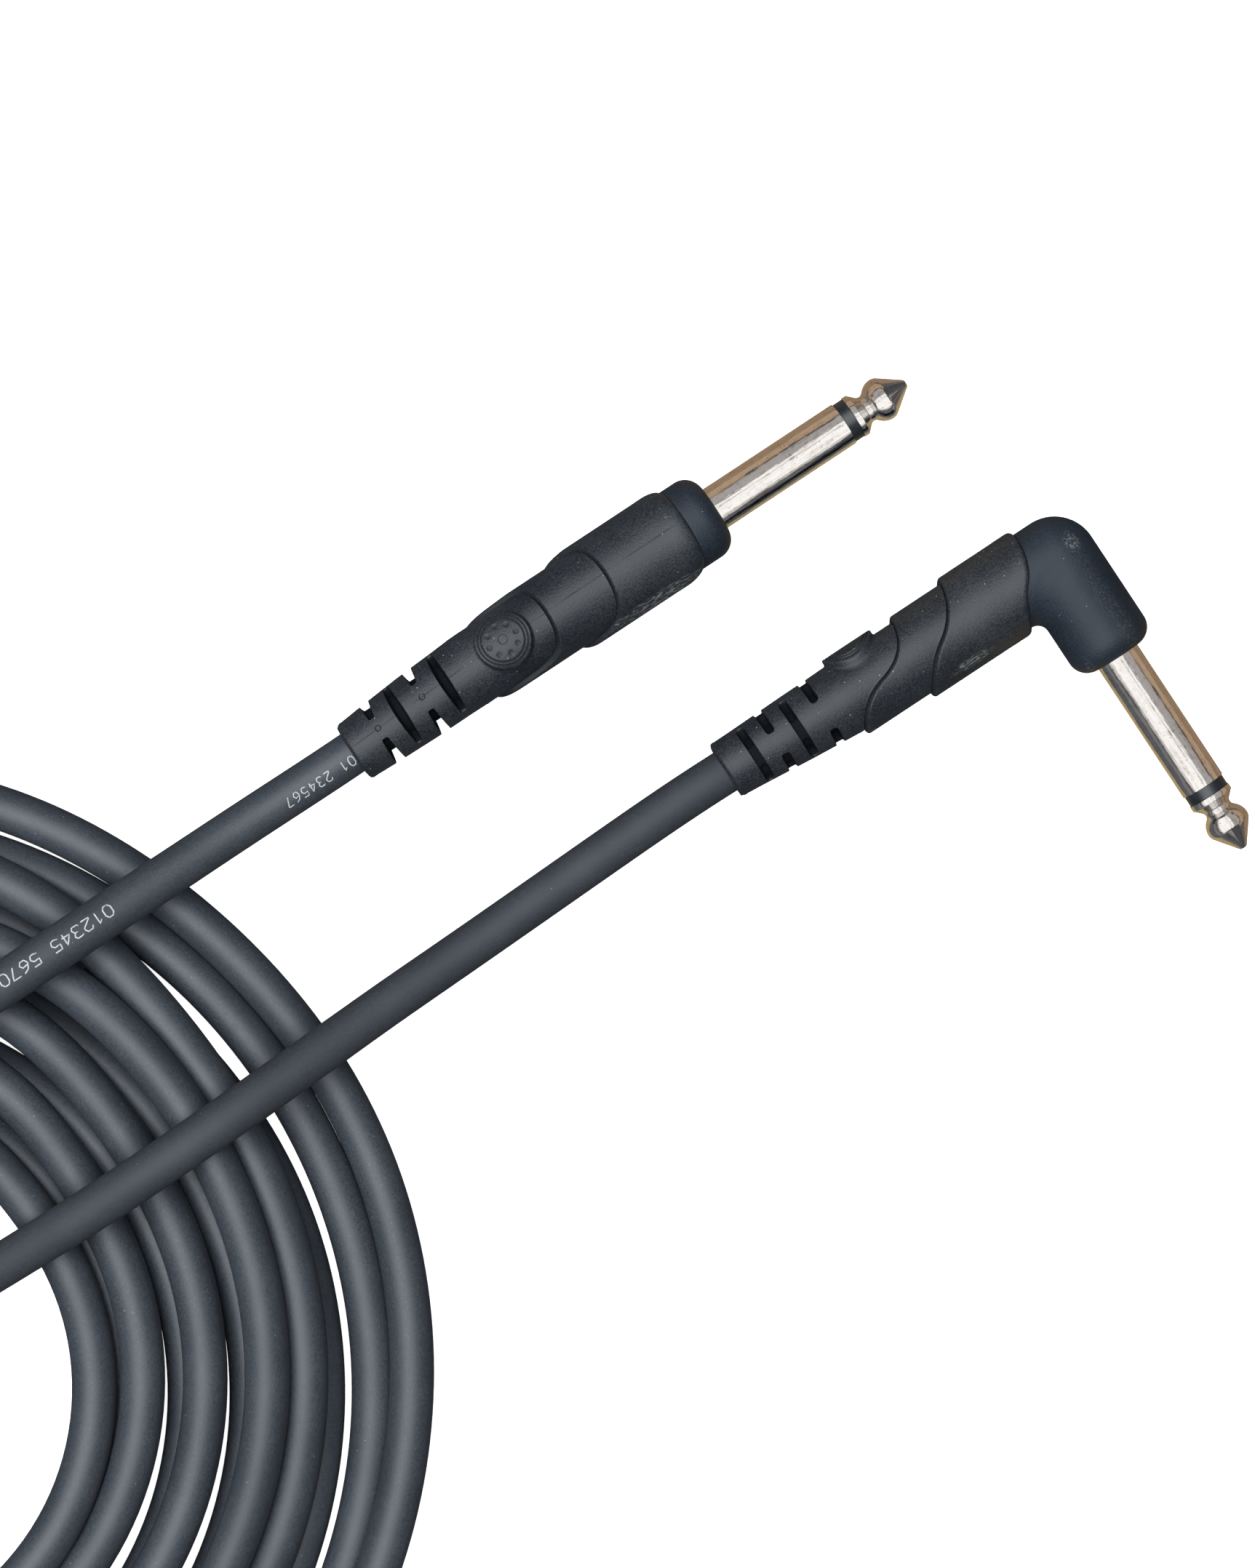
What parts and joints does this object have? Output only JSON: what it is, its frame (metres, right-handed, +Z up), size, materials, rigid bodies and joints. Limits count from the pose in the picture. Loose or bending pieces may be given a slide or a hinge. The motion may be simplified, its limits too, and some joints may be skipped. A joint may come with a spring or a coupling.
{
  "type": "instrument cable",
  "caption": "Shielded cord in a flat coil with a moulded straight phone plug at one end and a moulded right-angle phone plug at the other.",
  "frame": {"origin": "middle of the box round the two plugs, on the surface that they lie on", "axes": "+X along both plug bodies, away from the coil and towards the straight plug's tip; +Y from the right-angle plug to the straight plug, so that the right-angle plug's pin points to -Y; +Z up"},
  "size_m": [0.2992, 0.173, 0.0233],
  "materials": {
    "nickel": "polished nickel plate with fine turning marks",
    "brass": "bare sheet",
    "copper": "bare stranded copper",
    "solder": "satin",
    "insulator": "smooth black",
    "moulding": "black soft vinyl with a fine spark-eroded grain",
    "jacket": "black vinyl, smooth satin",
    "conductive_layer": "matt black conductive vinyl",
    "core_insulation": "natural white"
  },
  "bodies": {
    "root": {"straight_tip": "nickel", "straight_tip_insulator": "insulator", "straight_sleeve": "nickel", "straight_ground_lug": "brass", "straight_rear_washer": "insulator", "straight_tip_lug": "brass", "straight_solder_joints": "solder", "straight_collar": "moulding", "straight_grip": "moulding", "straight_jacket_end": "jacket", "straight_shield_end": "copper", "straight_screen_end": "conductive_layer", "straight_core_insulation": "core_insulation", "straight_conductor_end": "copper", "angled_tip": "nickel", "angled_tip_insulator": "insulator", "angled_sleeve": "nickel", "angled_ground_lug": "brass", "angled_rear_washer": "insulator", "angled_tip_lug": "brass", "angled_solder_joints": "solder", "angled_elbow": "moulding", "angled_grip": "moulding", "angled_jacket_end": "jacket", "angled_shield_end": "copper", "angled_screen_end": "conductive_layer", "angled_core_insulation": "core_insulation", "angled_conductor_end": "copper", "straight_lead": "jacket", "angled_lead": "jacket", "cable_coil": "jacket"}
  },
  "joints": []
}
